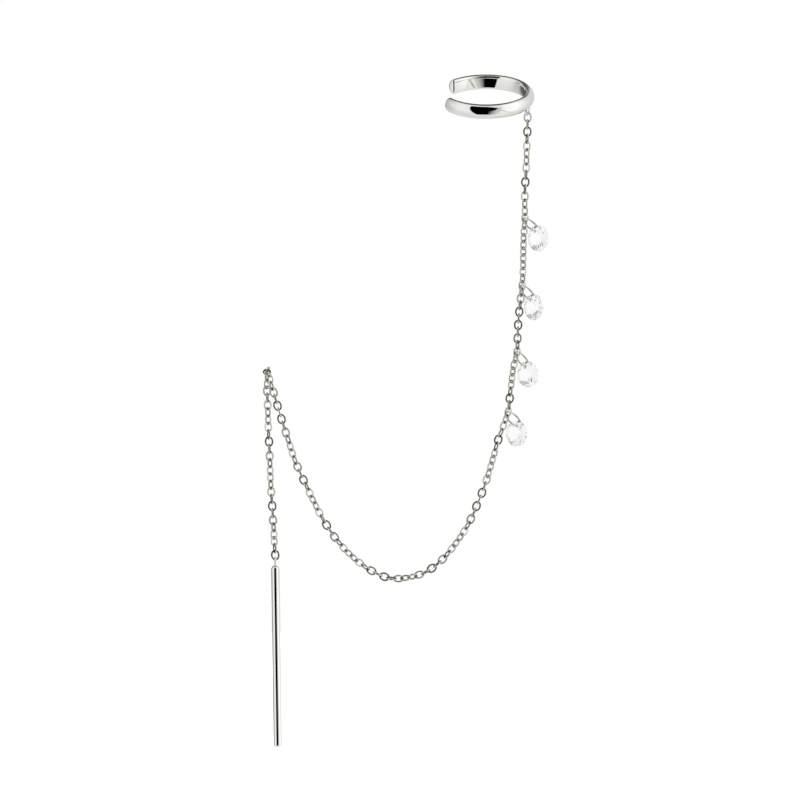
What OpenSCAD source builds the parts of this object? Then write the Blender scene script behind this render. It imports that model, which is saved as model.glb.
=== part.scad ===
// Ear chain earring: an open cuff, a fine cable chain with four drilled stones, and a threader bar.
// Millimetres, Z up. The origin is the centre of the cuff, where the rim of the ear sits.
// X runs across the ear and -Y is the side that faces the viewer.

/* [Cuff] */
// Inside diameter of the cuff
cuff_inner_d = 10; // [9:0.5:12]
// Thickness of the cuff's band, from the plain inner wall to the crown of its dome
cuff_t = 1.05; // [0.95:0.05:1.3]
// Height of the cuff's band
cuff_h = 1.9; // [1.4:0.05:2.2]
// Radius of the band's two inner edges
cuff_edge_r = 0.35; // [0.2:0.05:0.4]
// Tilt of the cuff towards the viewer, in degrees
cuff_tilt = 21; // [0:1:25]
// Half of the cuff's gap on the near side, in degrees from -X
gap_near = 30; // [20:1:40]
// Half of the cuff's gap on the far side, in degrees from -X
gap_far = 38; // [20:1:45]
// Corner radius of the cuff's two ends
cuff_end_r = 0.5; // [0.1:0.05:0.6]

/* [Eyelets] */
// Middle radius of the eyelet under the cuff
cuff_eyelet_r = 0.48; // [0.4:0.02:0.6]
// Middle radius of the eyelet on top of the bar
bar_eyelet_r = 0.45; // [0.4:0.01:0.6]
// Wire radius of both eyelets
eyelet_wire_r = 0.15; // [0.1:0.01:0.2]

/* [Chain] */
// Width of the chain, across its links
chain_d = 1; // [0.9:0.05:1.2]
// Radius of the space inside a link that a jump ring passes through
link_space_r = 0.28; // [0.26:0.01:0.3]

/* [Drops] */
// Girdle diameter of a stone
stone_d = 3.25; // [3:0.05:3.4]
// Table diameter of a stone, as a part of its girdle diameter
table_part = 0.57; // [0.5:0.01:0.65]
// Height of a stone's crown, as a part of its girdle diameter
crown_part = 0.14; // [0.1:0.01:0.18]
// Depth of a stone's pavilion, as a part of its girdle diameter
pavilion_part = 0.41; // [0.35:0.01:0.45]
// Thickness of a stone's girdle
girdle_t = 0.08; // [0.04:0.01:0.12]
// Radius of the hole drilled through a stone
drill_r = 0.3; // [0.28:0.01:0.32]
// Distance from the drilled hole's middle to the stone's edge
drill_inset = 0.66; // [0.6:0.01:0.75]
// Middle radius of a jump ring
ring_r = 1.2; // [1.15:0.01:1.25]
// Wire radius of a jump ring
ring_wire_r = 0.11; // [0.08:0.01:0.12]

/* [Threader bar] */
// Diameter of the bar
bar_d = 1.04; // [0.8:0.02:1.2]
// Length of the bar, from the top of its dome to its lower end
bar_len = 22.7; // [15:0.1:30]
// Lean of the bar away from plumb, in degrees towards +X
bar_lean = 0.8; // [0:0.1:2]
// Radius of the bar's lower edge
bar_edge_r = 0.3; // [0.1:0.05:0.4]

/* [Hidden] */

metal = [0.86, 0.86, 0.87];
clear_stone = [0.93, 0.95, 0.97, 0.6];
fine = 96;
// Facets round the fine wires and the drilled holes
wire_fn = 40;
overlap = 0.01;

// Cuff
cuff_inner_r = cuff_inner_d / 2;
// Place of the eyelet round the band, in degrees from +X, and its distance from the cuff's axis
eyelet_turn = -22;
eyelet_reach = cuff_inner_r + 0.6;
// How far the eyelet's top is sunk in the band's lower edge
eyelet_sink = 0.3;

// Chain route, from the cuff's eyelet to the bar's: down past the stones, round the U,
// up the far side of the lobe, through it towards the viewer and down to the bar
ROUTE = [
    [5.2, -1.5, -2.55],
    [5.15, -1.5, -5],
    [5.05, -1.5, -8],
    [4.9, -1.5, -11],
    [4.85, -1.5, -13],
    [4.85, -1.5, -15.2],
    [4.7, -1.5, -17.5],
    [4.65, -1.5, -20],
    [4.6, -1.5, -22],
    [4.5, -1.5, -23.6],
    [4.25, -1.45, -26],
    [4.05, -1.45, -28],
    [3.95, -1.4, -30],
    [3.85, -1.4, -31.9],
    [3.4, -1.4, -34],
    [3.15, -1.35, -36],
    [2.95, -1.35, -37.8],
    [2.75, -1.3, -39.4],
    [2.15, -1.3, -41.2],
    [1.5, -1.25, -43],
    [0.8, -1.2, -45.5],
    [0.05, -1.2, -48],
    [-0.9, -1.15, -50.5],
    [-2.1, -1.1, -53.2],
    [-3.6, -1, -55.6],
    [-5.3, -0.95, -57.7],
    [-7.3, -0.85, -59.3],
    [-9.6, -0.75, -60.1],
    [-12, -0.6, -60.2],
    [-14.2, -0.45, -59.35],
    [-16.2, -0.3, -57.95],
    [-18.1, -0.1, -56.1],
    [-19.8, 0.1, -53.8],
    [-21.3, 0.3, -51.1],
    [-22.6, 0.5, -48.4],
    [-23.8, 0.7, -45.7],
    [-24.75, 0.9, -42.9],
    [-25.7, 1.1, -39.9],
    [-26.5, 1.25, -37.2],
    [-27, 1.25, -35.5],
    [-27.25, 0.9, -34.6],
    [-27.35, 0, -34.2],
    [-27.4, -0.9, -34.6],
    [-27.4, -1.3, -35.5],
    [-27.35, -1.3, -37.5],
    [-27.25, -1.3, -40],
    [-27.15, -1.3, -42.5],
    [-27.05, -1.3, -45],
    [-26.95, -1.3, -47.5],
    [-26.8, -1.3, -50],
    [-26.65, -1.3, -52.5],
    [-26.5, -1.3, -55],
    [-26.4, -1.3, -57.25]
];
CHAIN_SIDES = 8;

// Stones, from the top: the route point that carries each, the slope of its jump ring,
// the turn of the ring, the turn of the stone and the stone's roll, all in degrees
//        point slope ring stone roll
DROPS = [[5,    44,   31,  36,   18],
         [9,    50,   31,  43,   14],
         [13,   53,   29,  36,   11],
         [17,   49,   36,  36,   -12]];
AT = 0;
SLOPE = 1;
RING_TURN = 2;
STONE_TURN = 3;
ROLL = 4;
// How far a jump ring's wire curves away inside a link; the spaces it passes through lie half of that
// towards the ring's middle
ring_rise = ring_r - sqrt(ring_r * ring_r - chain_d * chain_d / 4);

// Threader bar
bar_r = bar_d / 2;
// Middle of the bar's eyelet, which is the axis the bar swings about
BAR_PIVOT = [-26.35, -1.3, -58.1];
// Depth of the bar's dome below the eyelet's middle
bar_drop = bar_eyelet_r + eyelet_wire_r - 0.1;

// A closed ring of round wire about the Z axis
module wire_ring(middle_r, wire_r) {
    rotate_extrude($fn = fine)
        translate([middle_r, 0])
            circle(r = wire_r, $fn = wire_fn);
}

// Band section: plain inner wall, two round inner edges, and a dome that runs smoothly into them
module band_section() {
    a = cuff_t - cuff_edge_r;
    b = cuff_h / 2 - cuff_edge_r;
    dome_r = (a * a + b * b - cuff_edge_r * cuff_edge_r) / (2 * (a - cuff_edge_r));
    dome_x = cuff_inner_r + cuff_t - dome_r;
    edge_x = cuff_inner_r + cuff_edge_r;
    reach = [edge_x - dome_x, b] * 4;
    translate([cuff_inner_r, -b])
        square([cuff_edge_r, 2 * b]);
    for (side = [-1, 1])
        translate([edge_x, side * b])
            circle(r = cuff_edge_r, $fn = wire_fn);
    intersection() {
        translate([dome_x, 0])
            circle(r = dome_r, $fn = fine);
        polygon([[dome_x, 0], [dome_x + reach.x, -reach.y], [dome_x + 4 * dome_r, -reach.y],
                 [dome_x + 4 * dome_r, reach.y], [dome_x + reach.x, reach.y]]);
    }
}

// What is cut away from the upper corner of a band end that lies at Y = 0, with the band towards +Y
module end_corner() {
    edge = cuff_h / 2 - cuff_end_r;
    rotate([90, 0, 90])
        linear_extrude(height = 2 * cuff_inner_r)
            difference() {
                translate([-overlap, edge])
                    square([cuff_end_r + overlap, cuff_h]);
                translate([cuff_end_r, edge])
                    circle(r = cuff_end_r, $fn = fine);
            }
}

module end_rounding() {
    end_corner();
    mirror([0, 0, 1])
        end_corner();
}

// Open band with its gap towards -X
module cuff_band() {
    difference() {
        rotate([0, 0, gap_near - 180])
            rotate_extrude(angle = 360 - gap_near - gap_far, $fn = fine)
                band_section();
        rotate([0, 0, gap_near - 180])
            end_rounding();
        rotate([0, 0, 180 - gap_far])
            mirror([0, 1, 0])
                end_rounding();
    }
}

module ear_cuff() {
    color(metal)
        rotate([cuff_tilt, 0, 0]) {
            cuff_band();
            rotate([0, 0, eyelet_turn])
                translate([eyelet_reach, 0, eyelet_sink - cuff_h / 2 - cuff_eyelet_r])
                    rotate([0, 90, 0])
                        wire_ring(cuff_eyelet_r, eyelet_wire_r);
        }
}

// Sweep of a round section along a list of points, as one closed skin of triangles
function unit(v) = v / norm(v);
function tangent(path, i) = unit(path[min(i + 1, len(path) - 1)] - path[max(i - 1, 0)]);
function square_to(v, t) = unit(v - (v * t) * t);
function sides_of(path) = [
    for (i = 0, n = square_to([1, 0, 0], tangent(path, 0));
         i < len(path);
         i = i + 1, n = i < len(path) ? square_to(n, tangent(path, i)) : n) n
];
function tube_points(path, r, sides) = let (normals = sides_of(path)) [
    for (i = [0:len(path) - 1], k = [0:sides - 1])
        let (n = normals[i], b = cross(tangent(path, i), n), turn = 360 * k / sides)
        path[i] + r * (cos(turn) * n + sin(turn) * b)
];
function tube_faces(rings, sides) = concat(
    [for (i = [0:rings - 2], k = [0:sides - 1]) let (a = i * sides + k, b = i * sides + (k + 1) % sides)
        [a, a + sides, b]],
    [for (i = [0:rings - 2], k = [0:sides - 1]) let (a = i * sides + k, b = i * sides + (k + 1) % sides)
        [b, a + sides, b + sides]],
    [[for (k = [0:sides - 1]) k]],
    [[for (k = [0:sides - 1]) rings * sides - 1 - k]]
);

// Frame of a stone's jump ring: X runs down the slope to the stone, Y along the wire where it turns
module at_ring(drop) {
    translate(ROUTE[drop[AT]])
        rotate([0, 0, -drop[RING_TURN]])
            rotate([0, drop[SLOPE], 0])
                children();
}

// Middle of the hole in a stone, at the jump ring's far end
function drill_place(drop) = ROUTE[drop[AT]]
    + (2 * ring_r - ring_rise / 2) * [cos(drop[SLOPE]) * cos(drop[RING_TURN]),
                                      -cos(drop[SLOPE]) * sin(drop[RING_TURN]),
                                      -sin(drop[SLOPE])];

module chain() {
    color(metal)
        difference() {
            polyhedron(points = tube_points(ROUTE, chain_d / 2, CHAIN_SIDES),
                       faces = tube_faces(len(ROUTE), CHAIN_SIDES), convexity = 10);
            for (drop = DROPS)
                at_ring(drop)
                    translate([ring_rise / 2, 0, 0])
                        rotate([90, 0, 0])
                            cylinder(r = link_space_r, h = 2 * chain_d, center = true, $fn = wire_fn);
        }
}

module drop_ring(drop) {
    color(metal)
        at_ring(drop)
            translate([ring_r, 0, 0])
                wire_ring(ring_r, ring_wire_r);
}

// Brilliant outline turned about Z, with its table up and its girdle's middle at zero
module brilliant() {
    r = stone_d / 2;
    rotate_extrude($fn = fine)
        polygon([[0, girdle_t / 2 + crown_part * stone_d], [table_part * r, girdle_t / 2 + crown_part * stone_d],
                 [r, girdle_t / 2], [r, -girdle_t / 2], [0, -girdle_t / 2 - pavilion_part * stone_d]]);
}

module stone(drop) {
    drill_x = stone_d / 2 - drill_inset;
    color(clear_stone)
        translate(drill_place(drop))
            rotate([0, 0, -drop[STONE_TURN]])
                rotate([0, -drop[ROLL], 0])
                    rotate([90, 0, 0])
                        difference() {
                            translate([0, -drill_x, 0])
                                brilliant();
                            cylinder(r = drill_r, h = 2 * stone_d, center = true, $fn = wire_fn);
                        }
}

// Bar outline turned about Z: a dome on top and a rounded lower edge, with its top at zero
module bar_shank() {
    rotate_extrude($fn = fine) {
        intersection() {
            translate([0, -bar_r])
                circle(r = bar_r, $fn = fine);
            translate([0, -bar_r])
                square(bar_r);
        }
        translate([0, bar_edge_r - bar_len])
            square([bar_r, bar_len - bar_edge_r - bar_r]);
        translate([0, -bar_len])
            square([bar_r - bar_edge_r, bar_edge_r]);
        translate([bar_r - bar_edge_r, bar_edge_r - bar_len])
            intersection() {
                circle(r = bar_edge_r, $fn = fine);
                translate([0, -bar_edge_r])
                    square(bar_edge_r);
            }
    }
}

module threader_bar() {
    color(metal)
        translate(BAR_PIVOT)
            rotate([0, -bar_lean, 0]) {
                rotate([0, 90, 0])
                    wire_ring(bar_eyelet_r, eyelet_wire_r);
                translate([0, 0, -bar_drop])
                    bar_shank();
            }
}

ear_cuff();
chain();
drop_ring(DROPS[0]);  // drop_ring_1
drop_ring(DROPS[1]);  // drop_ring_2
drop_ring(DROPS[2]);  // drop_ring_3
drop_ring(DROPS[3]);  // drop_ring_4
stone(DROPS[0]);  // stone_1
stone(DROPS[1]);  // stone_2
stone(DROPS[2]);  // stone_3
stone(DROPS[3]);  // stone_4
threader_bar();
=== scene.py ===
"""Ear chain earring: an open cuff, a fine cable chain with four drilled stones, and a threader bar.

Metres, Z up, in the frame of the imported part. The origin is the centre of the cuff, X runs
across the ear and -Y is the side that faces the viewer.
"""
import bisect
import math

import bmesh
import bpy
from bpy.props import FloatProperty, FloatVectorProperty, PointerProperty
from mathutils import Matrix, Vector


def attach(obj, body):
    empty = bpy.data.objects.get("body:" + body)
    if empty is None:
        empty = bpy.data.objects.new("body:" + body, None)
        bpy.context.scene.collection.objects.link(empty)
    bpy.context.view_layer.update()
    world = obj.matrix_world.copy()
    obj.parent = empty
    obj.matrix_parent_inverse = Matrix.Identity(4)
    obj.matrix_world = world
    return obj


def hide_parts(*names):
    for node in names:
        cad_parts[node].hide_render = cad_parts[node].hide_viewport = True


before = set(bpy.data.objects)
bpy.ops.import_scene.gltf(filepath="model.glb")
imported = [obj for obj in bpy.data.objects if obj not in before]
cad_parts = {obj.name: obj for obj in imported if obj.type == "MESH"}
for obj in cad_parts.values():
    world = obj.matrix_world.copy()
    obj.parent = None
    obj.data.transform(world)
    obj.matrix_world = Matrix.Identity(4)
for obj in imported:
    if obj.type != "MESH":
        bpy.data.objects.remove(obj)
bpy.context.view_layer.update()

bl_info = {
    "name": "Ear Chain Earring",
    "version": (1, 0, 0),
    "blender": (4, 5, 0),
    "location": "3D View > Sidebar > Earring",
    "description": "Models an ear chain earring with a cuff, a fine chain, stones and a threader bar",
    "category": "Object",
}

MM = 0.001
HANGING = "cuff_and_chain"
SWINGING = "bar"
METAL_SLOT = "white_metal"
STONE_SLOT = "clear_stone"

# Chain route in millimetres, from the cuff's eyelet to the bar's, as in the part's source
ROUTE_MM = [
    (5.2, -1.5, -2.55), (5.15, -1.5, -5), (5.05, -1.5, -8), (4.9, -1.5, -11), (4.85, -1.5, -13),
    (4.85, -1.5, -15.2), (4.7, -1.5, -17.5), (4.65, -1.5, -20), (4.6, -1.5, -22), (4.5, -1.5, -23.6),
    (4.25, -1.45, -26), (4.05, -1.45, -28), (3.95, -1.4, -30), (3.85, -1.4, -31.9), (3.4, -1.4, -34),
    (3.15, -1.35, -36), (2.95, -1.35, -37.8), (2.75, -1.3, -39.4), (2.15, -1.3, -41.2), (1.5, -1.25, -43),
    (0.8, -1.2, -45.5), (0.05, -1.2, -48), (-0.9, -1.15, -50.5), (-2.1, -1.1, -53.2), (-3.6, -1, -55.6),
    (-5.3, -0.95, -57.7), (-7.3, -0.85, -59.3), (-9.6, -0.75, -60.1), (-12, -0.6, -60.2),
    (-14.2, -0.45, -59.35), (-16.2, -0.3, -57.95), (-18.1, -0.1, -56.1), (-19.8, 0.1, -53.8),
    (-21.3, 0.3, -51.1), (-22.6, 0.5, -48.4), (-23.8, 0.7, -45.7), (-24.75, 0.9, -42.9),
    (-25.7, 1.1, -39.9), (-26.5, 1.25, -37.2), (-27, 1.25, -35.5), (-27.25, 0.9, -34.6),
    (-27.35, 0, -34.2), (-27.4, -0.9, -34.6), (-27.4, -1.3, -35.5), (-27.35, -1.3, -37.5),
    (-27.25, -1.3, -40), (-27.15, -1.3, -42.5), (-27.05, -1.3, -45), (-26.95, -1.3, -47.5),
    (-26.8, -1.3, -50), (-26.65, -1.3, -52.5), (-26.5, -1.3, -55), (-26.4, -1.3, -57.25),
]
ROUTE = [Vector(point) * MM for point in ROUTE_MM]

# Drops, from the top, as in the part's source. Columns: the route point that carries the drop, then in
# degrees the slope of its jump ring, the turn of the ring, the turn of the stone and the stone's roll
DROPS = [(5, 44, 31, 36, 18), (9, 50, 31, 43, 14), (13, 53, 29, 36, 11), (17, 49, 36, 36, -12)]

# The chain is twisted, so now its even links face the viewer and now its odd ones. Columns: how many
# links on from the row above, how many millimetres along the chain (None where a jump ring or the
# chain's end settles it), and the twist in degrees, at 0 with the even links facing the viewer and at
# 90 with the odd ones. Where links face the viewer was read from the photo, the rest was chosen to suit
TWIST = [
    (14, None, -149), (5, 16.8, -135), (5, None, -149), (6, 26, -180), (4, None, -151),
    (5, 33.55, -135), (4, None, -55), (2, 38.8, -48), (2, 40.65, -88), (2, 42.4, -135),
    (3, 45, -130), (2, 46.7, -95), (3, 49.4, -90), (11, 59.1, 0), (7, 65.3, 90), (10, 74.3, 180),
    (8, 81.55, 270), (8, 88.8, 360), (4, 92.3, 375), (5, 96.6, 412), (5, 100.9, 540), (7, 107.3, 630),
    (9, 115.35, 718), (3, 118, 745), (3, None, 810),
]

# Middle of the bar's eyelet, which hangs on the last link's wire above it, and the bar's lean
BAR_EYELET = Vector((-26.35, -1.3, -58.1)) * MM
BAR_LEAN = math.radians(0.8)

# The camera is far away with a long lens, as in the photo, whose frame is 100 mm wide at the earring
CAMERA_AT = Vector((-10.76, -3501.3, -37.925)) * MM
LENS = 1260
SENSOR_WIDTH = 36


# Sizes and colours


def size_of(name, description, millimetres):
    return FloatProperty(
        name=name, description=description, default=millimetres * MM, min=0, unit="LENGTH"
    )


def angle_of(name, description, degrees):
    return FloatProperty(
        name=name, description=description, default=math.radians(degrees), subtype="ANGLE"
    )


def colour_of(name, description, rgb):
    return FloatVectorProperty(
        name=name, description=description, default=rgb, size=3, min=0, max=1, subtype="COLOR"
    )


def share_of(name, description, value):
    return FloatProperty(
        name=name, description=description, default=value, min=0, max=1, subtype="FACTOR"
    )


class CuffSizes(bpy.types.PropertyGroup):
    """Sizes of the open cuff and the eyelet under it."""

    inner_r: size_of("Inside Radius", "Radius of the plain inner wall", 5)
    thickness: size_of("Thickness", "From the inner wall to the crown of the dome", 1.05)
    height: size_of("Height", "Height of the band", 1.9)
    edge_r: size_of("Edge Radius", "Radius of the two inner edges", 0.35)
    bulge: size_of("Inner Bulge", "How far the inner wall bulges towards the ear", 0.03)
    end_height_r: size_of("End Rounding in Height", "How round an end is, seen from the side", 0.34)
    end_depth_r: size_of("End Rounding in Depth", "How round an end is, seen from above", 0.34)
    tilt: angle_of("Tilt", "Tilt towards the viewer", 21)
    gap_near: angle_of("Near Half of the Gap", "From -X to the near end", 30)
    gap_far: angle_of("Far Half of the Gap", "From -X to the far end", 38)
    eyelet_r: size_of("Eyelet Radius", "Middle radius of the eyelet", 0.48)
    eyelet_wire_r: size_of("Eyelet Wire Radius", "Radius of the eyelet's wire", 0.15)
    eyelet_turn: angle_of("Eyelet Turn", "Place of the eyelet round the band, from +X", -22)
    eyelet_reach: size_of("Eyelet Reach", "Eyelet's distance from the cuff's axis", 5.6)
    eyelet_sink: size_of("Eyelet Sink", "How far the eyelet is sunk in the band", 0.3)
    solder_r: size_of("Solder Radius", "Radius of the solder that holds the eyelet", 0.3)


class ChainSizes(bpy.types.PropertyGroup):
    """Sizes of the cable chain's links."""

    link_length: size_of("Link Length", "Outside length of a link", 1.38)
    link_width: size_of("Link Width", "Outside width of a link", 1.1)
    wire: size_of("Wire Diameter", "Diameter of the links' wire", 0.22)
    # The wires of an end link and its eyelet stay this far apart, so that the bar turns freely
    play: size_of("Play", "Space left between an end link and its eyelet", 0.015)


class DropSizes(bpy.types.PropertyGroup):
    """Sizes of the stones and of the jump rings that carry them."""

    stone_d: size_of("Stone Diameter", "Girdle diameter of a stone", 3.25)
    table_part: share_of("Table", "Table diameter, as a part of the girdle's", 0.57)
    crown_part: share_of("Crown", "Crown height, as a part of the girdle diameter", 0.14)
    pavilion_part: share_of("Pavilion", "Pavilion depth, as a part of the girdle diameter", 0.41)
    girdle: size_of("Girdle", "Thickness of the girdle", 0.08)
    drill_r: size_of("Hole Radius", "Radius of the drilled hole", 0.3)
    drill_inset: size_of("Hole Inset", "From the hole's middle to the stone's edge", 0.66)
    ring_r: size_of("Jump Ring Radius", "Middle radius of a jump ring", 1.2)
    ring_wire_r: size_of("Jump Ring Wire Radius", "Radius of a jump ring's wire", 0.11)
    ring_split: size_of("Jump Ring Split", "Width of a jump ring's split", 0.03)
    # The jump rings meet the chain over this width, which sets how far they curve inside a link
    chain_d: size_of("Chain Width", "Width of the chain where a ring passes through it", 1.0)


class BarSizes(bpy.types.PropertyGroup):
    """Sizes of the threader bar and its eyelet."""

    diameter: size_of("Diameter", "Diameter of the bar", 1.04)
    length: size_of("Length", "From the top of the dome to the lower end", 22.7)
    edge_r: size_of("Edge Radius", "Radius of the lower edge", 0.3)
    eyelet_r: size_of("Eyelet Radius", "Middle radius of the eyelet", 0.46)
    eyelet_wire_r: size_of("Eyelet Wire Radius", "Radius of the eyelet's wire", 0.125)
    drop: size_of("Drop", "From the eyelet's middle to the top of the dome", 0.5)
    solder_r: size_of("Solder Radius", "Radius of the solder that holds the eyelet", 0.26)
    solder_sink: size_of("Solder Sink", "How far the solder's middle is under the dome's top", 0.02)


class Finishes(bpy.types.PropertyGroup):
    """Colours and polish."""

    metal: colour_of("Metal", "Colour of the polished white metal", (0.93, 0.93, 0.905))
    chain_metal: colour_of("Chain Metal", "Colour of the chain's metal", (0.72, 0.72, 0.665))
    stone: colour_of("Stone", "Colour of the clear stones", (0.99, 0.99, 1.0))
    polish: share_of("Roughness", "Roughness of the polished metal", 0.035)
    wire_roughness: share_of("Wire Roughness", "Roughness of the drawn wire of links and rings", 0.3)
    stone_ior: FloatProperty(
        name="Stone IOR", description="Index of refraction of the stones", default=1.6, min=1, max=3
    )


# Modelling helpers


def sizes(name):
    return getattr(bpy.context.scene, "earring_" + name)


def start_edit():
    bpy.ops.object.mode_set(mode="EDIT")


def end_edit():
    bpy.ops.object.mode_set(mode="OBJECT")


def only(*objects):
    """Leave only these objects selected, the first one active."""
    bpy.ops.object.select_all(action="DESELECT")
    for one in objects:
        one.select_set(True)
    bpy.context.view_layer.objects.active = objects[0]


def active():
    return bpy.context.view_layer.objects.active


def clean_start():
    """Deselect everything, the frame's own nodes included."""
    bpy.ops.object.select_all(action="DESELECT")


def pick(kind, test):
    """In edit mode, select only the verts, edges or faces that pass a test."""
    kinds = ("verts", "edges", "faces")
    bpy.context.tool_settings.mesh_select_mode = [kind == one for one in kinds]
    bpy.ops.mesh.select_all(action="DESELECT")
    mesh = bpy.context.edit_object.data
    shape = bmesh.from_edit_mesh(mesh)
    for item in getattr(shape, kind):
        if test(item):
            item.select_set(True)
    shape.select_flush_mode()
    bmesh.update_edit_mesh(mesh)


def turned(angle):
    """An angle for spin and rotate, which turn the other way when Blender has no window."""
    return -angle


def close_up():
    """Merge doubles and point all faces outwards, in edit mode."""
    bpy.ops.mesh.select_all(action="SELECT")
    bpy.ops.mesh.remove_doubles(threshold=1e-7)
    bpy.ops.mesh.normals_make_consistent(inside=False)


def apply_place(one):
    only(one)
    bpy.ops.object.transform_apply(location=True, rotation=True, scale=True)


def cut(one, other, operation):
    """Boolean of one object with another, which is then removed."""
    only(one)
    modifier = one.modifiers.new("join", "BOOLEAN")
    modifier.operation = operation
    modifier.object = other
    modifier.solver = "EXACT"
    modifier.material_mode = "TRANSFER"
    bpy.ops.object.modifier_apply(modifier=modifier.name)
    bpy.data.objects.remove(other)


def smooth(one, degrees):
    only(one)
    bpy.ops.object.shade_smooth_by_angle(angle=math.radians(degrees), keep_sharp_edges=False)


def finish_piece(one, name, body, nodes, slot, *materials):
    """Name a finished piece, give it its materials and hang it on its body."""
    apply_place(one)
    one.name = one.data.name = name
    if materials:
        one.data.materials.clear()
        for material in materials:
            one.data.materials.append(material)
    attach(one, body)
    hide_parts(*nodes)
    clean_start()


# Materials


def add(tree, kind, **values):
    """Add a node and set its own properties, and its inputs by name."""
    node = tree.nodes.new(kind)
    for name, value in values.items():
        if hasattr(node, name):
            setattr(node, name, value)
        else:
            node.inputs[name.replace("_", " ")].default_value = value
    return node


def math_node(tree, operation, *values):
    node = tree.nodes.new("ShaderNodeMath")
    node.operation = operation
    for socket, value in zip(node.inputs, values):
        if isinstance(value, (int, float)):
            socket.default_value = value
        else:
            tree.links.new(value, socket)
    return node.outputs[0]


def spread(tree, value, low, high, to_low, to_high, smooth_step=False):
    """Map a value's range to another one, held at both ends."""
    node = tree.nodes.new("ShaderNodeMapRange")
    node.clamp = True
    if smooth_step:
        node.interpolation_type = "SMOOTHSTEP"
    for socket, amount in zip(node.inputs[1:5], (low, high, to_low, to_high)):
        socket.default_value = amount
    tree.links.new(value, node.inputs[0])
    return node.outputs[0]


# Colour of the haze on worn metal, as a part of the metal's own, and of the painted shade where links
# touch and shade each other
HAZE_TINT = (0.93, 0.93, 0.915, 1)
PAINTED_SHADE_COLOUR = (0.02, 0.02, 0.018, 1)
# Noise scales of the haze, the hairline scratches and the stones' slight change of tone
HAZE_SCALE = 420.0
SCRATCH_SCALE = 9000.0
STONE_SCALE = 900.0
# Two directions of hairlines: how the noise is turned, and how it is stretched along them
SCRATCH_WAYS = (((0.3, 0.5, 0.9), (0.06, 1.0, 1.0)), ((1.1, 0.2, 2.2), (1.0, 0.05, 1.0)))


def worn_metal_group():
    """Shared effect of fine wear on polished metal: a tone, a roughness and a height."""
    made = bpy.data.node_groups.get("fine_metal_wear")
    if made:
        return made
    group = bpy.data.node_groups.new("fine_metal_wear", "ShaderNodeTree")
    face = group.interface
    face.new_socket("Vector", in_out="INPUT", socket_type="NodeSocketVector")
    for name, default in (("Roughness", 0.04), ("Haze", 0.03), ("Scratches", 0.4), ("Size", 1.0)):
        face.new_socket(name, in_out="INPUT", socket_type="NodeSocketFloat").default_value = default
    face.new_socket("Colour", in_out="INPUT", socket_type="NodeSocketColor")
    face.new_socket("Tone", in_out="OUTPUT", socket_type="NodeSocketColor")
    face.new_socket("Roughness", in_out="OUTPUT", socket_type="NodeSocketFloat")
    face.new_socket("Height", in_out="OUTPUT", socket_type="NodeSocketFloat")
    into = group.nodes.new("NodeGroupInput")
    out = group.nodes.new("NodeGroupOutput")
    join = group.links.new

    scaled = add(group, "ShaderNodeVectorMath", operation="SCALE")
    join(into.outputs["Vector"], scaled.inputs[0])
    join(into.outputs["Size"], scaled.inputs["Scale"])

    # Slow haze left by polishing and handling
    haze = add(group, "ShaderNodeTexNoise", Scale=HAZE_SCALE, Detail=4.0, Roughness=0.55)
    join(scaled.outputs[0], haze.inputs["Vector"])
    cloud = spread(group, haze.outputs["Fac"], 0.38, 0.72, 0.0, 1.0)

    # Hairline scratches: long thin noise in two directions
    lines = []
    for turn, stretch in SCRATCH_WAYS:
        place = add(group, "ShaderNodeMapping")
        place.inputs["Rotation"].default_value = turn
        place.inputs["Scale"].default_value = stretch
        join(scaled.outputs[0], place.inputs["Vector"])
        noise = add(group, "ShaderNodeTexNoise", Scale=SCRATCH_SCALE, Detail=2.0, Roughness=0.6)
        join(place.outputs[0], noise.inputs["Vector"])
        lines.append(spread(group, noise.outputs["Fac"], 0.66, 0.78, 0.0, 1.0))
    hairlines = math_node(group, "MAXIMUM", *lines)
    scratches = math_node(group, "MULTIPLY", hairlines, into.outputs["Scratches"])

    hazy = math_node(group, "MULTIPLY", cloud, into.outputs["Haze"])
    rough = math_node(group, "ADD", into.outputs["Roughness"], hazy)
    rougher = math_node(group, "MULTIPLY_ADD", scratches, 0.05, rough)
    join(rougher, out.inputs["Roughness"])

    tone = add(group, "ShaderNodeMix", data_type="RGBA")
    darker = add(group, "ShaderNodeMix", data_type="RGBA", blend_type="MULTIPLY")
    darker.inputs[0].default_value = 1.0
    darker.inputs[7].default_value = HAZE_TINT
    join(into.outputs["Colour"], darker.inputs[6])
    join(into.outputs["Colour"], tone.inputs[6])
    join(darker.outputs[2], tone.inputs[7])
    join(cloud, tone.inputs[0])
    join(tone.outputs[2], out.inputs["Tone"])

    join(math_node(group, "MULTIPLY", scratches, -1.0), out.inputs["Height"])
    return group


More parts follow.
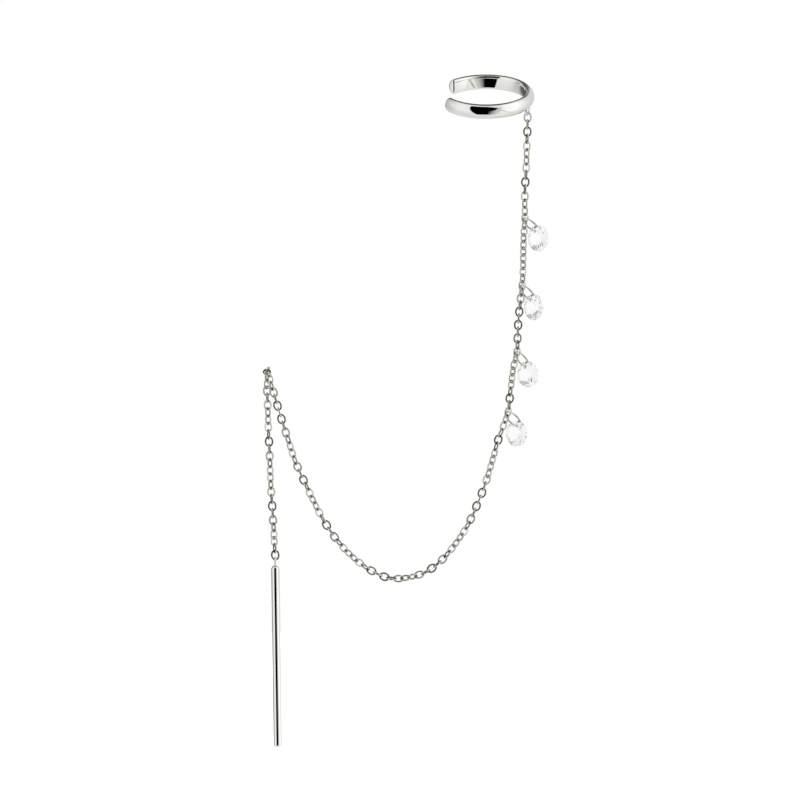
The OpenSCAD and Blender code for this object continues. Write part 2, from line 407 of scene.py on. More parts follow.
def metal_material(name, colour, roughness, haze, scratches, bump, size=1.0, painted_shade_reach=0.0):
    """White metal with fine wear and painted shade: within the given distance, dark where its parts meet
    and shade each other.
    """
    material = bpy.data.materials.new(name)
    material.use_nodes = True
    tree = material.node_tree
    shader = tree.nodes["Principled BSDF"]
    shader.inputs["Metallic"].default_value = 1.0
    place = tree.nodes.new("ShaderNodeTexCoord")
    wear = tree.nodes.new("ShaderNodeGroup")
    wear.node_tree = worn_metal_group()
    wear.inputs["Roughness"].default_value = roughness
    wear.inputs["Haze"].default_value = haze
    wear.inputs["Scratches"].default_value = scratches
    wear.inputs["Size"].default_value = size
    wear.inputs["Colour"].default_value = (*colour, 1)
    tree.links.new(place.outputs["Object"], wear.inputs["Vector"])
    tone = wear.outputs["Tone"]
    # Painted shade: ambient occlusion darkens the base colour where parts come close and shade each other
    if painted_shade_reach:
        touch = add(tree, "ShaderNodeAmbientOcclusion", samples=8, only_local=True)
        touch.inputs["Distance"].default_value = painted_shade_reach
        dark = add(tree, "ShaderNodeMix", data_type="RGBA")
        dark.inputs[6].default_value = PAINTED_SHADE_COLOUR
        tree.links.new(spread(tree, touch.outputs["AO"], 0.45, 0.92, 0.0, 1.0), dark.inputs[0])
        tree.links.new(tone, dark.inputs[7])
        tone = dark.outputs[2]
    tree.links.new(tone, shader.inputs["Base Color"])
    tree.links.new(wear.outputs["Roughness"], shader.inputs["Roughness"])
    raised = add(tree, "ShaderNodeBump", Strength=bump, Distance=1e-6)
    tree.links.new(wear.outputs["Height"], raised.inputs["Height"])
    tree.links.new(raised.outputs[0], shader.inputs["Normal"])
    return material


def stone_material(name, colour, ior, roughness, grain):
    """Clear polished stone; the drilled wall is the same stone, left a little frosted."""
    material = bpy.data.materials.new(name)
    material.use_nodes = True
    tree = material.node_tree
    shader = tree.nodes["Principled BSDF"]
    shader.inputs["Transmission Weight"].default_value = 1.0
    shader.inputs["IOR"].default_value = ior
    place = tree.nodes.new("ShaderNodeTexCoord")
    tint = add(tree, "ShaderNodeTexNoise", Scale=STONE_SCALE, Detail=3.0)
    tree.links.new(place.outputs["Object"], tint.inputs["Vector"])
    mixed = add(tree, "ShaderNodeMix", data_type="RGBA")
    mixed.inputs[6].default_value = (*colour, 1)
    mixed.inputs[7].default_value = (*(min(1, part * 1.01) for part in colour), 1)
    tree.links.new(tint.outputs["Fac"], mixed.inputs[0])
    tree.links.new(mixed.outputs[2], shader.inputs["Base Color"])
    tree.links.new(
        spread(tree, tint.outputs["Fac"], 0.35, 0.7, roughness, roughness + grain),
        shader.inputs["Roughness"],
    )
    return material


def metal():
    finish = sizes("finishes")
    return bpy.data.materials.get("polished_white_metal") or metal_material(
        "polished_white_metal", finish.metal, finish.polish, haze=0.03, scratches=0.5, bump=0.25
    )


def wire_metal():
    finish = sizes("finishes")
    # Drawn wire, with painted shade where its wires meet
    return bpy.data.materials.get("drawn_wire_metal") or metal_material(
        "drawn_wire_metal", finish.chain_metal, finish.wire_roughness, haze=0.06, scratches=0.6,
        bump=0.3, size=1.6, painted_shade_reach=0.38 * MM,
    )


# Cuff


def cuff_section(cuff):
    """The band's section at +X as one face: inner wall, two round edges and the dome."""
    edge, up, bulge = cuff.edge_r, cuff.height / 2 - cuff.edge_r, cuff.bulge
    # The inner wall bulges a little towards the ear, as polishing leaves it
    wall_r = (up**2 + bulge**2) / (2 * bulge) + edge
    lean = math.asin(up / (wall_r - edge))
    wall_x = cuff.inner_r + wall_r
    edge_x = wall_x - (wall_r - edge) * math.cos(lean)
    across = cuff.inner_r + cuff.thickness - edge_x
    dome_r = (across**2 + up**2 - edge**2) / (2 * (across - edge))
    dome_x = cuff.inner_r + cuff.thickness - dome_r
    reach = math.atan2(up, edge_x - dome_x)
    start = (wall_x - wall_r * math.cos(lean), 0, -wall_r * math.sin(lean))
    bpy.ops.mesh.primitive_plane_add(size=edge, location=start)
    band = active()
    apply_place(band)
    start_edit()
    pick("verts", lambda v: True)
    bpy.ops.mesh.merge(type="CENTER")
    corner = math.pi - lean - reach
    for steps, angle, centre in (
        (12, 2 * lean, (wall_x, 0, 0)),
        (16, corner, (edge_x, 0, up)),
        (56, 2 * reach, (dome_x, 0, 0)),
        (16, corner, (edge_x, 0, -up)),
    ):
        bpy.ops.mesh.spin(steps=steps, angle=turned(angle), center=centre, axis=(0, 1, 0))
    bpy.ops.mesh.select_all(action="SELECT")
    bpy.ops.mesh.remove_doubles(threshold=1e-6)
    bpy.ops.mesh.edge_face_add()
    return band


def round_end(cuff, start, direction):
    """Draw the band on past the selected end face and round it off, in small steps."""
    middle_r = cuff.inner_r + cuff.thickness / 2
    half_height, half_depth = cuff.height / 2, cuff.thickness / 2
    high, deep = cuff.end_height_r, cuff.end_depth_r
    steps, gone, was = 9, 0.0, (1.0, 1.0)
    angle = start
    for k in range(1, steps + 1):
        turn = math.pi / 2 * k / steps
        along = high * math.sin(turn)
        left = high - along
        reach = max(0.0, (deep - left) / deep)
        in_depth = deep * (1 - math.sqrt(1 - reach**2))
        now = (1 - in_depth / half_depth, 1 - high * (1 - math.cos(turn)) / half_height)
        step = direction * (along - gone) / middle_r
        bpy.ops.mesh.spin(steps=1, angle=turned(step), center=(0, 0, 0), axis=(0, 0, 1))
        angle += step
        centre = (middle_r * math.cos(angle), middle_r * math.sin(angle), 0)
        flat, upright = now[0] / was[0], now[1] / was[1]
        bpy.ops.transform.resize(value=(flat, flat, upright), center_override=centre)
        gone, was = along, now


def cuff_eyelet(cuff):
    """Middle of the eyelet under the band, before the cuff is tilted."""
    turn = cuff.eyelet_turn
    low = cuff.eyelet_sink - cuff.height / 2 - cuff.eyelet_r
    return Vector((cuff.eyelet_reach * math.cos(turn), cuff.eyelet_reach * math.sin(turn), low))


def angle_at(face):
    centre = face.calc_center_median()
    return math.atan2(centre.y, centre.x)


class EARRING_OT_cuff(bpy.types.Operator):
    """Model the open cuff with the eyelet soldered under it"""

    bl_idname = "earring.cuff"
    bl_label = "Ear Cuff"

    def execute(self, context):
        clean_start()
        cuff = sizes("cuff")
        band = cuff_section(cuff)
        middle_r = cuff.inner_r + cuff.thickness / 2
        rounding = cuff.end_height_r / middle_r
        near = cuff.gap_near - math.pi + rounding
        far = math.pi - cuff.gap_far - rounding
        bpy.ops.transform.rotate(
            value=turned(near), orient_axis="Z", center_override=(0, 0, 0)
        )
        bpy.ops.mesh.spin(steps=180, angle=turned(far - near), center=(0, 0, 0), axis=(0, 0, 1))
        for start, direction in ((far, 1), (near, -1)):
            pick("faces", lambda f: len(f.verts) > 8 and abs(angle_at(f) - start) < 0.01)
            round_end(cuff, start, direction)
        close_up()
        end_edit()

        place = cuff_eyelet(cuff)
        clean_start()
        bpy.ops.mesh.primitive_torus_add(
            location=place, rotation=(0, math.pi / 2, cuff.eyelet_turn),
            major_segments=56, minor_segments=20,
            major_radius=cuff.eyelet_r, minor_radius=cuff.eyelet_wire_r,
        )
        eyelet = active()
        apply_place(eyelet)
        # A small fillet of solder where the eyelet meets the band
        bpy.ops.mesh.primitive_uv_sphere_add(
            segments=32, ring_count=16, radius=cuff.solder_r,
            location=(place.x, place.y, -cuff.height / 2),
            rotation=(0, 0, cuff.eyelet_turn), scale=(0.9, 1.25, 0.42),
        )
        solder = active()
        apply_place(solder)
        cut(eyelet, solder, "UNION")
        cut(band, eyelet, "UNION")
        only(band)
        start_edit()
        bpy.ops.mesh.select_all(action="SELECT")
        bpy.ops.transform.rotate(
            value=turned(cuff.tilt), orient_axis="X", center_override=(0, 0, 0)
        )
        end_edit()
        smooth(band, 32)
        finish_piece(band, "cuff_with_eyelet", HANGING, ["ear_cuff"], METAL_SLOT, metal())
        return {"FINISHED"}


# Chain


def smooth_line(points, parts=24):
    """A smooth line through the points (Catmull-Rom), and the index in it of each point."""
    line, marks = [], []
    for i in range(len(points) - 1):
        a = points[max(i - 1, 0)]
        b, c = points[i], points[i + 1]
        d = points[min(i + 2, len(points) - 1)]
        marks.append(len(line))
        for k in range(parts):
            t = k / parts
            line.append(
                0.5 * (2 * b + (c - a) * t + (2 * a - 5 * b + 4 * c - d) * t**2
                       + (3 * b - a - 3 * c + d) * t**3)
            )
    marks.append(len(line))
    line.append(points[-1].copy())
    return line, marks


class Track:
    """A line with its length along it and a side direction that doesn't twist."""

    def __init__(self, line, side):
        self.line = line
        self.at = [0.0]
        for a, b in zip(line, line[1:]):
            self.at.append(self.at[-1] + (b - a).length)
        self.sides = []
        for i in range(len(line)):
            ahead = self.heading(i)
            side = (side - ahead * side.dot(ahead)).normalized()
            self.sides.append(side.copy())

    def heading(self, i):
        return (self.line[min(i + 1, len(self.line) - 1)] - self.line[max(i - 1, 0)]).normalized()

    def place(self, length):
        """Point, heading and side at a length along the line."""
        i = min(max(bisect.bisect_right(self.at, length) - 1, 0), len(self.at) - 2)
        part = (length - self.at[i]) / (self.at[i + 1] - self.at[i])
        point = self.line[i].lerp(self.line[i + 1], part)
        ahead = self.heading(i).lerp(self.heading(i + 1), part).normalized()
        side = self.sides[i].lerp(self.sides[i + 1], part)
        return point, ahead, (side - ahead * side.dot(ahead)).normalized()


def turn_to(track, length, normal):
    """How far a link at this place is turned when its opening faces along normal."""
    _, ahead, side = track.place(length)
    return math.atan2(normal.dot(ahead.cross(side)), normal.dot(side))


class EARRING_OT_chain(bpy.types.Operator):
    """Model the cable chain, link by link, from the cuff's eyelet to the bar's"""

    bl_idname = "earring.chain"
    bl_label = "Cable Chain"

    def execute(self, context):
        clean_start()
        chain, cuff, bar = sizes("chain"), sizes("cuff"), sizes("bar")
        half = chain.link_length / 2 - chain.wire / 2

        # The first link hangs in the cuff's eyelet and the last one carries the bar's
        tilt = Matrix.Rotation(cuff.tilt, 3, "X")
        eyelet = tilt @ cuff_eyelet(cuff)
        hole = tilt @ Vector((math.cos(cuff.eyelet_turn), math.sin(cuff.eyelet_turn), 0))
        reach = half - chain.wire / 2 - chain.play
        first = eyelet - Vector((0, 0, cuff.eyelet_r - cuff.eyelet_wire_r + reach))
        last = BAR_EYELET + Vector((0, 0, bar.eyelet_r - bar.eyelet_wire_r + reach))
        line, marks = smooth_line([first, *ROUTE[1:-1], last])
        track = Track(line, Vector((0, 1, 0)))

        # Links held at their place by the eyelets and the jump rings: how far along they are, and how
        # they are turned
        held = [(0.0, turn_to(track, 0.0, hole.cross(Vector((0, 0, 1)))) % math.pi)]
        for at, _slope, ring_turn, _stone_turn, _roll in DROPS:
            length = track.at[marks[at]]
            ring = math.radians(ring_turn)
            held.append((length, turn_to(track, length, Vector((math.sin(ring), math.cos(ring), 0)))))
        held.append((track.at[-1], turn_to(track, track.at[-1], Vector((0, 1, 0)))))

        # From row to row the links lie evenly and the twist changes evenly, each link a quarter turn
        # on from the last. A held link's own turn settles the twist of its row
        places = [held.pop(0)]
        length, twist = places[0]
        for links, along, degrees in TWIST:
            count = len(places) - 1
            start, was = length, twist
            length, twist = (along or 0) * MM, math.radians(degrees)
            if along is None:
                length, turn = held.pop(0)
                twist += math.remainder(turn - (count + links) * math.pi / 2 - twist, math.pi)
            for k in range(1, links + 1):
                share = k / links
                turn = was + (twist - was) * share + (count + k) * math.pi / 2
                places.append((start + (length - start) * share, turn))

        # One link: an oval of round wire
        clean_start()
        bpy.ops.curve.primitive_bezier_circle_add(radius=(chain.link_width - chain.wire) / 2)
        link = active()
        link.data.resolution_u = 4
        link.data.bevel_depth = chain.wire / 2
        link.data.bevel_resolution = 1
        start_edit()
        bpy.ops.curve.select_all(action="SELECT")
        stretch = (chain.link_length - chain.wire) / (chain.link_width - chain.wire)
        bpy.ops.transform.resize(value=(stretch, 1, 1), center_override=(0, 0, 0))
        end_edit()
        bpy.ops.object.convert(target="MESH")
        link = active()
        start_edit()
        close_up()
        end_edit()
        smooth(link, 60)
        copies = []
        for length, turn in places:
            point, ahead, side = track.place(length)
            opening = Matrix.Rotation(turn, 3, ahead) @ side
            rows = Matrix((ahead, opening.cross(ahead), opening)).transposed().to_4x4()
            only(link)
            bpy.ops.object.duplicate()
            copy = active()
            copy.matrix_world = Matrix.Translation(point) @ rows
            copies.append(copy)
        bpy.data.objects.remove(link)
        for copy in copies:
            copy.select_set(True)
        bpy.context.view_layer.objects.active = copies[0]
        bpy.ops.object.transform_apply(location=True, rotation=True, scale=True)
        bpy.ops.object.join()
        finish_piece(active(), "cable_chain", HANGING, ["chain"], METAL_SLOT, wire_metal())
        return {"FINISHED"}


# Jump rings and stones


def ring_frame(drop):
    """Frame of a jump ring at the chain: X runs down the slope to the stone."""
    at, slope, turn = drop[0], math.radians(drop[1]), math.radians(drop[2])
    return (
        Matrix.Translation(ROUTE[at])
        @ Matrix.Rotation(-turn, 4, "Z")
        @ Matrix.Rotation(slope, 4, "Y")
    )


class EARRING_OT_jump_rings(bpy.types.Operator):
    """Model the four split jump rings that carry the stones"""

    bl_idname = "earring.jump_rings"
    bl_label = "Jump Rings"

    def execute(self, context):
        clean_start()
        drops = sizes("drops")
        opening = drops.ring_split / drops.ring_r
        bpy.ops.mesh.primitive_circle_add(
            vertices=14, radius=drops.ring_wire_r, fill_type="NGON",
            location=(drops.ring_r, 0, 0), rotation=(math.pi / 2, 0, 0),
        )
        ring = active()
        apply_place(ring)
        start_edit()
        bpy.ops.mesh.select_all(action="SELECT")
        bpy.ops.mesh.spin(
            steps=60, angle=turned(2 * math.pi - opening), center=(0, 0, 0), axis=(0, 0, 1)
        )
        close_up()
        # The split faces away from both the link and the stone
        bpy.ops.transform.rotate(
            value=turned(math.radians(100)), orient_axis="Z", center_override=(0, 0, 0)
        )
        end_edit()
        smooth(ring, 50)
        for number, drop in enumerate(DROPS, 1):
            only(ring)
            bpy.ops.object.duplicate()
            copy = active()
            copy.matrix_world = ring_frame(drop) @ Matrix.Translation((drops.ring_r, 0, 0))
            finish_piece(
                copy, f"jump_ring_{number}", HANGING, [f"drop_ring_{number}"], METAL_SLOT,
                wire_metal(),
            )
        bpy.data.objects.remove(ring)
        return {"FINISHED"}


# Slope of the star facets round the table, and how much steeper than the main facets the ones along
# the girdle are, above it and below it
STAR_SLOPE = math.radians(20)
STEEPER_ABOVE = math.radians(6.5)
STEEPER_BELOW = math.radians(1.7)


def cut_facets(count, start, slope, radius, height, below):
    """Cut a ring of flat facets that pass through one radius and height."""
    for k in range(count):
        angle = start + 2 * math.pi * k / count
        out = Vector((math.cos(angle), math.sin(angle), 0))
        up = -1 if below else 1
        normal = out * math.sin(slope) + Vector((0, 0, up * math.cos(slope)))
        bpy.ops.mesh.select_all(action="SELECT")
        bpy.ops.mesh.bisect(
            plane_co=out * radius + Vector((0, 0, height)), plane_no=normal,
            use_fill=True, clear_outer=True, threshold=1e-8,
        )


class EARRING_OT_stones(bpy.types.Operator):
    """Cut one drilled brilliant stone and hang a copy on each jump ring"""

    bl_idname = "earring.stones"
    bl_label = "Drilled Stones"

    def execute(self, context):
        clean_start()
        drops, finish = sizes("drops"), sizes("finishes")
        r = drops.stone_d / 2
        crown, pavilion = drops.crown_part * drops.stone_d, drops.pavilion_part * drops.stone_d
        rim = drops.girdle / 2
        table = drops.table_part * r
        bpy.ops.mesh.primitive_cylinder_add(
            vertices=64, radius=r, depth=crown + pavilion + drops.girdle,
            location=(0, 0, (crown - pavilion) / 2),
        )
        stone = active()
        apply_place(stone)
        start_edit()
        eighth = math.pi / 4
        main = math.atan2(crown, r - table)
        bottom = math.atan2(pavilion, r)
        # Crown: main facets, star facets round the table, then the steeper ones along the girdle
        in_r = r * 0.995
        cut_facets(8, 0, main, r, rim, False)
        cut_facets(8, eighth / 2, STAR_SLOPE, table * math.cos(eighth / 2), rim + crown, False)
        cut_facets(16, eighth / 4, main + STEEPER_ABOVE, in_r, rim, False)
        # Pavilion: main facets, and the steeper ones along the girdle
        cut_facets(8, 0, bottom, r, -rim, True)
        cut_facets(16, eighth / 4, bottom + STEEPER_BELOW, in_r, -rim, True)
        close_up()
        end_edit()
        stone.data.materials.append(
            stone_material("clear_stone", finish.stone, finish.stone_ior, roughness=0.0, grain=0.004)
        )
        bpy.ops.mesh.primitive_cylinder_add(
            vertices=32, radius=drops.drill_r, depth=2 * drops.stone_d,
            location=(0, r - drops.drill_inset, 0),
        )
        drill = active()
        apply_place(drill)
        drill.data.materials.append(
            stone_material(
                "drilled_stone_wall", finish.stone, finish.stone_ior, roughness=0.12, grain=0.2
            )
        )
        cut(stone, drill, "DIFFERENCE")
        only(stone)
        bpy.ops.object.shade_flat()

        rise = drops.ring_r - math.sqrt(drops.ring_r**2 - drops.chain_d**2 / 4)
        for number, drop in enumerate(DROPS, 1):
            hole = ring_frame(drop) @ Vector((2 * drops.ring_r - rise / 2, 0, 0))
            only(stone)
            bpy.ops.object.duplicate()
            copy = active()
            copy.matrix_world = (
                Matrix.Translation(hole)
                @ Matrix.Rotation(math.radians(-drop[3]), 4, "Z")
                @ Matrix.Rotation(math.radians(-drop[4]), 4, "Y")
                @ Matrix.Rotation(math.pi / 2, 4, "X")
                @ Matrix.Translation((0, drops.drill_inset - r, 0))
            )
            finish_piece(copy, f"drilled_stone_{number}", HANGING, [f"stone_{number}"], STONE_SLOT)
        bpy.data.objects.remove(stone)
        return {"FINISHED"}


# Bar


class EARRING_OT_bar(bpy.types.Operator):
    """Model the threader bar with its soldered eyelet"""

    bl_idname = "earring.bar"
    bl_label = "Threader Bar"

    def execute(self, context):
        clean_start()
        bar = sizes("bar")
        r = bar.diameter / 2
        top = BAR_EYELET.z - bar.drop
        bpy.ops.mesh.primitive_cylinder_add(
            vertices=72, radius=r, depth=bar.length,
            location=(BAR_EYELET.x, BAR_EYELET.y, top - bar.length / 2),
        )
        shank = active()
        apply_place(shank)
        start_edit()
        # The top is rounded to a dome nearly as high as the bar's radius, the lower edge a little
        for height, offset, parts in ((top, r * 0.985, 14), (top - bar.length, bar.edge_r, 8)):
            pick("edges", lambda e: all(abs(v.co.z - height) < 1e-6 for v in e.verts))
            bpy.ops.mesh.bevel(offset=offset, segments=parts, affect="EDGES", clamp_overlap=False)
        close_up()
        end_edit()
        bpy.ops.mesh.primitive_torus_add(
            location=BAR_EYELET, rotation=(0, math.pi / 2, 0), major_segments=56, minor_segments=20,
            major_radius=bar.eyelet_r, minor_radius=bar.eyelet_wire_r,
        )
        eyelet = active()
        apply_place(eyelet)
        bpy.ops.mesh.primitive_uv_sphere_add(
            segments=32, ring_count=16, radius=bar.solder_r, scale=(0.8, 1.1, 0.5),
            location=(BAR_EYELET.x, BAR_EYELET.y, top - bar.solder_sink),
        )
        solder = active()
        apply_place(solder)
        cut(eyelet, solder, "UNION")
        cut(shank, eyelet, "UNION")
        only(shank)
        start_edit()
        bpy.ops.mesh.select_all(action="SELECT")
        bpy.ops.transform.rotate(
            value=turned(-BAR_LEAN), orient_axis="Y", center_override=tuple(BAR_EYELET)
        )
        end_edit()
        smooth(shank, 32)
        finish_piece(shank, "bar_with_eyelet", SWINGING, ["threader_bar"], METAL_SLOT, metal())
        return {"FINISHED"}


# Stage


def ramp(tree, value, stops):
    """Grey levels by a value from 0 to 1."""
    node = tree.nodes.new("ShaderNodeValToRGB")
    marks = node.color_ramp.elements
    while len(marks) > 1:
        marks.remove(marks[-1])
    marks[0].position = stops[0][0]
    marks[0].color = (*[stops[0][1]] * 3, 1)
    for place, level in stops[1:]:
        marks.new(place).color = (level, level, level, 1)
    tree.links.new(value, node.inputs[0])
    return node.outputs[0]


# The room that the metal reflects. Angles are in degrees: the compass angle runs from behind the object
# (-180) past the left (-90) to the viewer (0), the right (90) and behind again, the height from -90 to
# 90. Levels are brightness, 1 as bright as the background.

# Brightness all round, by compass angle
ROUND_THE_ROOM = (
    (-180, 0.68), (-150, 0.62), (-100, 0.56), (-88, 0.74), (-72, 0.88), (-55, 0.97), (-38, 0.9),
    (30, 0.8), (45, 1.04), (60, 1.1), (76, 1.1), (92, 0.96), (108, 0.82), (124, 0.73), (180, 0.68),
)
# Changes with height: where the change begins and ends, how much of it there is, and the level there.
# The ceiling, the dark part of it overhead, and the side of the floor
BY_HEIGHT = ((45, 75, 1.0, 0.74), (61, 71, 1.0, 0.12), (-12, -45, 0.8, 0.78))
# The dark gap in front, round the camera: its sides with their softness, and its lower and upper edge
# by compass angle
AHEAD = (-36.5, 34, 1.5, 3)
GAP_BOTTOM = ((-40, -27), (-20, -26), (0, -22), (10, -12), (20, 0), (27, 24), (40, 60))
GAP_TOP = ((-40, 51), (3, 51), (11, 45), (20, 36), (27, 28), (40, 10))
GAP_SOFT = 4
# The table under the gap: its heights with their softness, how far it runs on into the gap, and its
# level, which rises from the first compass angle to the second
TABLE = (-58, 30, 5, 2)
TABLE_UNDER_GAP = (8, 3)
TABLE_LEVEL = (5, 26, 0.0, 0.6)
# Height of the thin dark line that the table's far edge makes on the right, its sides and its
# thickness with their softness, how it fades to the right, and its level
TABLE_LINE = (
    (24, 6), (32, -3), (50, -21), (65, -33), (79, -42), (97, -46), (110, -40), (118, -30), (150, -34)
)
LINE_SIDES = (30, 140, 3, 8)
LINE_THICKNESS = (-3, 3, 2.5, 2.5)
LINE_FADE = (45, 62, 1.0, 0.25)
LINE_LEVEL = 0.42
# A darker corner behind and to the left: its sides and its heights with their softness, and its level
CORNER_SIDES = (-166, -118, 12, 9)
CORNER_HEIGHTS = (-12, 68, 8, 8)
CORNER_LEVEL = 0.09
# Dark strips behind: how far from the front they begin and are full, and their heights with softness
STRIPS = (((118, 150), (46, 86, 6, 5)), ((168, 177), (9, 50, 5, 5)))
STRIP_LEVEL = 0.1
# How much paler the room is for light that has passed through a stone
THROUGH_STONE = 0.96

# The floor is level, lies under the bar and looks as white as the background
FLOOR_SIZE = 6
FLOOR_Z = -92 * MM
FLOOR_WHITE = (0.9, 0.9, 0.9, 1)
# Softboxes: name, place, size and power. They light the floor and aren't seen in the metal
SOFTBOXES = (
    ("left_softbox", (-0.5, -0.25, 0.35), 0.5, 4.0),
    ("right_softbox", (0.5, -0.2, 0.2), 0.5, 3.0),
)
AIM = Vector((0, 0, -40)) * MM
WHITE = (1, 1, 1, 1)


def by_compass(tree, compass, table, low=0.0, high=1.0):
    """A value that changes with the compass angle, from a table of angles and values."""
    turn = math_node(tree, "MULTIPLY_ADD", compass, 1 / 360, 0.5)
    marks = [((angle + 180) / 360, (value - low) / (high - low)) for angle, value in table]
    return math_node(tree, "MULTIPLY_ADD", ramp(tree, turn, marks), high - low, low)


def between(tree, value, low, high, soft_low, soft_high):
    """1 between low and high, fading to 0 on both sides."""
    rise = spread(tree, value, low - soft_low, low + soft_low, 0.0, 1.0, True)
    fall = spread(tree, value, high - soft_high, high + soft_high, 1.0, 0.0, True)
    return math_node(tree, "MULTIPLY", rise, fall)


def blend(tree, base, amount, level):
    """Mix a grey level, or another socket, into a value."""
    node = tree.nodes.new("ShaderNodeMix")
    tree.links.new(amount, node.inputs[0])
    tree.links.new(base, node.inputs[2])
    if isinstance(level, float):
        node.inputs[3].default_value = level
    else:
        tree.links.new(level, node.inputs[3])
    return node.outputs[0]


def room_light(tree):
    """Brightness of the room that the metal reflects, by direction."""
    place = tree.nodes.new("ShaderNodeTexCoord")
    parts = tree.nodes.new("ShaderNodeSeparateXYZ")
    tree.links.new(place.outputs["Generated"], parts.inputs[0])
    to_viewer = math_node(tree, "MULTIPLY", parts.outputs["Y"], -1.0)
    compass = math_node(
        tree, "MULTIPLY", math_node(tree, "ARCTAN2", parts.outputs["X"], to_viewer), 180 / math.pi
    )
    height = math_node(
        tree, "MULTIPLY", math_node(tree, "ARCSINE", parts.outputs["Z"]), 180 / math.pi
    )
    room = by_compass(tree, compass, ROUND_THE_ROOM, 0.0, 2.0)
    for start, end, amount, level in BY_HEIGHT:
        change = spread(tree, height, start, end, 0.0, amount, True)
        room = blend(tree, room, change, level)

    over = math_node(tree, "SUBTRACT", height, by_compass(tree, compass, GAP_BOTTOM, -90.0, 90.0))
    under = math_node(tree, "SUBTRACT", by_compass(tree, compass, GAP_TOP, -90.0, 90.0), height)
    ahead = between(tree, compass, *AHEAD)
    table = math_node(tree, "MULTIPLY", ahead, between(tree, height, *TABLE))
    table = math_node(tree, "MULTIPLY", table, spread(tree, over, *TABLE_UNDER_GAP, 0.0, 1.0, True))
    room = blend(tree, room, table, spread(tree, compass, *TABLE_LEVEL))
    gap = math_node(
        tree, "MULTIPLY", spread(tree, over, -GAP_SOFT, GAP_SOFT, 0.0, 1.0, True),
        spread(tree, under, -GAP_SOFT, GAP_SOFT, 0.0, 1.0, True),
    )
    room = blend(tree, room, math_node(tree, "MULTIPLY", ahead, gap), 0.0)

    off_line = math_node(
        tree, "SUBTRACT", height, by_compass(tree, compass, TABLE_LINE, -90.0, 90.0)
    )
    line = math_node(
        tree, "MULTIPLY", between(tree, off_line, *LINE_THICKNESS), between(tree, compass, *LINE_SIDES)
    )
    line = math_node(tree, "MULTIPLY", line, spread(tree, compass, *LINE_FADE))
    room = blend(tree, room, line, LINE_LEVEL)

    corner = math_node(
        tree, "MULTIPLY", between(tree, compass, *CORNER_SIDES), between(tree, height, *CORNER_HEIGHTS)
    )
    room = blend(tree, room, corner, CORNER_LEVEL)
    from_front = math_node(tree, "ABSOLUTE", compass)
    for sides, heights in STRIPS:
        strip = math_node(
            tree, "MULTIPLY", spread(tree, from_front, *sides, 0.0, 1.0, True),
            between(tree, height, *heights),
        )
        room = blend(tree, room, strip, STRIP_LEVEL)
    return room


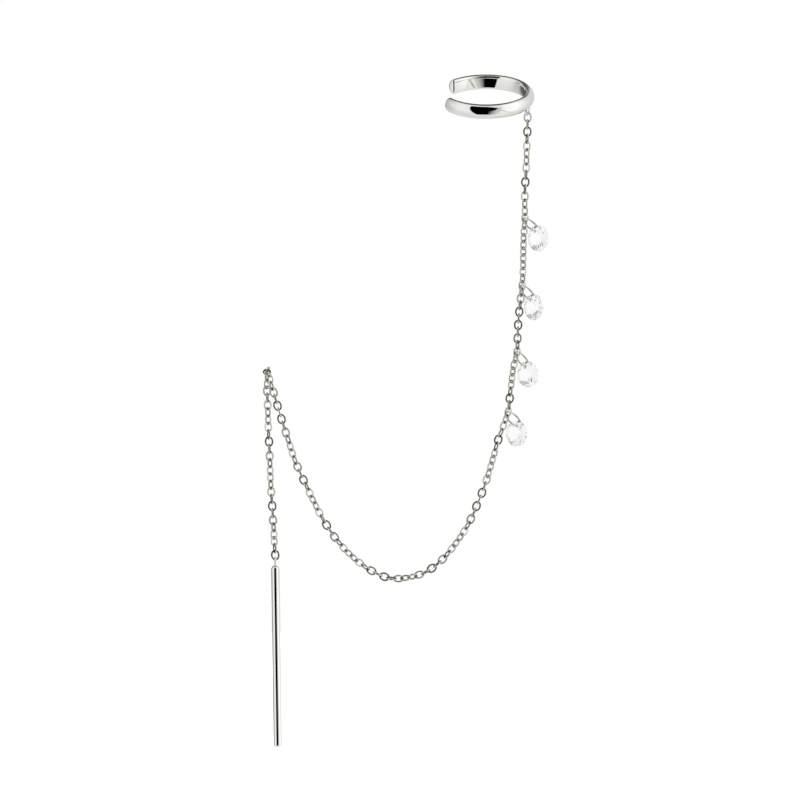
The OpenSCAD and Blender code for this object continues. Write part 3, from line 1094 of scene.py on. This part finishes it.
class EARRING_OT_stage(bpy.types.Operator):
    """Set up the pale floor, the soft studio light and the camera"""

    bl_idname = "earring.stage"
    bl_label = "Studio Stage"

    def execute(self, context):
        clean_start()
        scene = context.scene
        scene.view_settings.view_transform = "Standard"

        camera = bpy.data.objects.new("camera", bpy.data.cameras.new("camera"))
        scene.collection.objects.link(camera)
        camera.location = CAMERA_AT
        camera.rotation_euler = (math.pi / 2, 0, 0)
        camera.data.sensor_width = SENSOR_WIDTH
        camera.data.lens = LENS
        scene.camera = camera

        world = bpy.data.worlds.new("studio")
        scene.world = world
        world.use_nodes = True
        tree = world.node_tree
        tree.nodes.clear()
        out = tree.nodes.new("ShaderNodeOutputWorld")
        room = room_light(tree)
        # Light that has passed through a stone comes from a paler room, as in the photo
        path = tree.nodes.new("ShaderNodeLightPath")
        through = math_node(tree, "GREATER_THAN", path.outputs["Transmission Depth"], 0.5)
        paler = add(tree, "ShaderNodeMix", data_type="RGBA")
        tree.links.new(math_node(tree, "MULTIPLY", through, THROUGH_STONE), paler.inputs[0])
        tree.links.new(room, paler.inputs[6])
        paler.inputs[7].default_value = WHITE
        surround = add(tree, "ShaderNodeBackground", Strength=1.0)
        tree.links.new(paler.outputs[2], surround.inputs[0])
        plain = add(tree, "ShaderNodeBackground", Strength=1.0)
        plain.inputs[0].default_value = WHITE
        choice = tree.nodes.new("ShaderNodeMixShader")
        tree.links.new(path.outputs["Is Camera Ray"], choice.inputs[0])
        tree.links.new(surround.outputs[0], choice.inputs[1])
        tree.links.new(plain.outputs[0], choice.inputs[2])
        tree.links.new(choice.outputs[0], out.inputs[0])

        bpy.ops.mesh.primitive_plane_add(size=FLOOR_SIZE, location=(0, 0, FLOOR_Z))
        floor = active()
        floor.name = "studio_floor"
        paint = bpy.data.materials.new("pale_floor")
        paint.use_nodes = True
        shader = paint.node_tree.nodes["Principled BSDF"]
        shader.inputs["Base Color"].default_value = FLOOR_WHITE
        shader.inputs["Roughness"].default_value = 0.9
        shader.inputs["Emission Color"].default_value = WHITE
        shader.inputs["Emission Strength"].default_value = 1.0
        floor.data.materials.append(paint)
        floor.visible_glossy = False
        floor.visible_transmission = False

        for name, place, size, power in SOFTBOXES:
            light = bpy.data.objects.new(name, bpy.data.lights.new(name, "AREA"))
            light.data.size = size
            light.data.energy = power
            light.location = place
            light.visible_glossy = False
            light.visible_transmission = False
            light.rotation_euler = (AIM - Vector(place)).to_track_quat("-Z", "Y").to_euler()
            scene.collection.objects.link(light)
        return {"FINISHED"}


# Add-on

OPERATORS = (
    EARRING_OT_stage,
    EARRING_OT_cuff,
    EARRING_OT_chain,
    EARRING_OT_jump_rings,
    EARRING_OT_stones,
    EARRING_OT_bar,
)
GROUPS = {
    "cuff": CuffSizes,
    "chain": ChainSizes,
    "drops": DropSizes,
    "bar": BarSizes,
    "finishes": Finishes,
}


class EARRING_PT_panel(bpy.types.Panel):
    """Panel in the 3D view's sidebar"""

    bl_idname = "EARRING_PT_panel"
    bl_label = "Ear Chain Earring"
    bl_space_type = "VIEW_3D"
    bl_region_type = "UI"
    bl_category = "Earring"

    def draw(self, context):
        for kind in OPERATORS:
            self.layout.operator(kind.bl_idname)
        for name, group in GROUPS.items():
            box = self.layout.box()
            box.label(text=name.title())
            for setting in group.__annotations__:
                box.prop(getattr(context.scene, "earring_" + name), setting)


def register():
    for kind in (*GROUPS.values(), *OPERATORS, EARRING_PT_panel):
        bpy.utils.register_class(kind)
    for name, group in GROUPS.items():
        setattr(bpy.types.Scene, "earring_" + name, PointerProperty(type=group))


def unregister():
    for name in GROUPS:
        delattr(bpy.types.Scene, "earring_" + name)
    for kind in reversed((*GROUPS.values(), *OPERATORS, EARRING_PT_panel)):
        bpy.utils.unregister_class(kind)


def main():
    register()
    bpy.ops.earring.stage()
    bpy.ops.earring.cuff()
    bpy.ops.earring.chain()
    bpy.ops.earring.jump_rings()
    bpy.ops.earring.stones()
    bpy.ops.earring.bar()
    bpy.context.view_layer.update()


if __name__ == "__main__":
    main()
